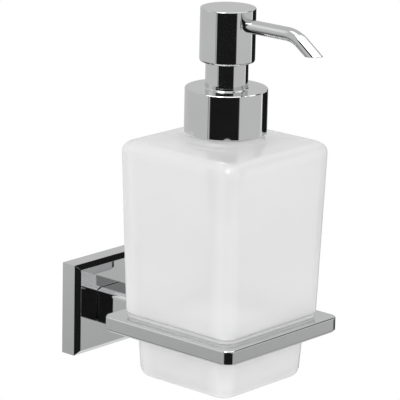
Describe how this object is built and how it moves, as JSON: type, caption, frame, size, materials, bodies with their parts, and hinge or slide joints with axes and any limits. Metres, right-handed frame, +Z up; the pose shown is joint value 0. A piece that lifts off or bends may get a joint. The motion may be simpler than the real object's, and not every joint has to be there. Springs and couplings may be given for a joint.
{
  "type": "wall mounted soap dispenser",
  "caption": "Wall mounted liquid soap dispenser: square wall plate and arm, square ring holding a frosted glass bottle with a pump head and a bent spout tube.",
  "frame": {"origin": "centre of the wall plate's back, on the wall face", "axes": "+Y into the wall, -Y out into the room towards the bottle, +Z up, +X to the right seen from the room"},
  "size_m": [0.075, 0.1309, 0.1707],
  "materials": {
    "chrome_cover": "polished",
    "chrome_arm": "polished",
    "chrome_ring": "polished",
    "chrome_collar": "polished",
    "chrome_sleeve": "polished",
    "chrome_head": "polished",
    "chrome_spout": "polished",
    "zinc_steel": "bright zinc plated",
    "screw_steel": "plain stainless",
    "spring_steel": "drawn stainless wire",
    "liner_plastic": "translucent satin",
    "frosted_glass": "satin etched",
    "gasket_rubber": "soft matt",
    "closure_plastic": "moulded",
    "pump_plastic": "moulded",
    "piston_plastic": "moulded",
    "ball_glass": "polished",
    "tube_plastic": "translucent"
  },
  "bodies": {
    "wall_base": {"wall_bracket": "zinc_steel", "escutcheon": "chrome_cover", "grub_screw": "screw_steel", "arm": "chrome_arm", "arm_washer": "zinc_steel", "arm_bolt": "screw_steel", "holder_ring": "chrome_ring", "ring_screws": "screw_steel", "glass_liner": "liner_plastic"},
    "bottle": {"bottle": "frosted_glass"},
    "pump": {"pump_housing": "pump_plastic", "housing_gasket": "gasket_rubber", "chaplet": "pump_plastic", "dip_tube": "tube_plastic", "return_spring": "spring_steel"},
    "collar": {"closure": "closure_plastic", "collar_shell": "chrome_collar", "neck_sleeve": "chrome_sleeve"},
    "plunger": {"stem": "pump_plastic", "piston": "piston_plastic"},
    "head": {"head_shell": "chrome_head", "actuator": "pump_plastic", "guide_bush": "pump_plastic", "spout": "chrome_spout"},
    "inlet_valve": {"inlet_ball": "ball_glass"},
    "outlet_valve": {"outlet_ball": "ball_glass"}
  },
  "joints": [
    {"name": "bottle_lift", "type": "slide", "parent": "wall_base", "child": "bottle", "axis": [0, 0, 1], "range_m": [0, 0.04]},
    {"name": "pump_lift", "type": "slide", "parent": "bottle", "child": "pump", "axis": [0, 0, 1], "range_m": [0, 0.12]},
    {"name": "collar_turn", "type": "hinge", "parent": "pump", "child": "collar", "pos_m": [0, -0.0778, 0.1], "axis": [0, 0, 1], "range_deg": [0, 450]},
    {"name": "head_press", "type": "slide", "parent": "pump", "child": "plunger", "axis": [0, 0, 1], "range_m": [-0.0105, 0], "stiffness_N_per_m": 400, "springref_m": 0.012, "deforming": ["return_spring"]},
    {"name": "head_turn", "type": "hinge", "parent": "plunger", "child": "head", "pos_m": [0, -0.0778, 0.13], "axis": [0, 0, 1], "continuous": true},
    {"name": "inlet_ball_rise", "type": "slide", "parent": "pump", "child": "inlet_valve", "axis": [0, 0, 1], "range_m": [0, 0.0012]},
    {"name": "outlet_ball_rise", "type": "slide", "parent": "head", "child": "outlet_valve", "axis": [0, 0, 1], "range_m": [0, 0.0012]}
  ]
}
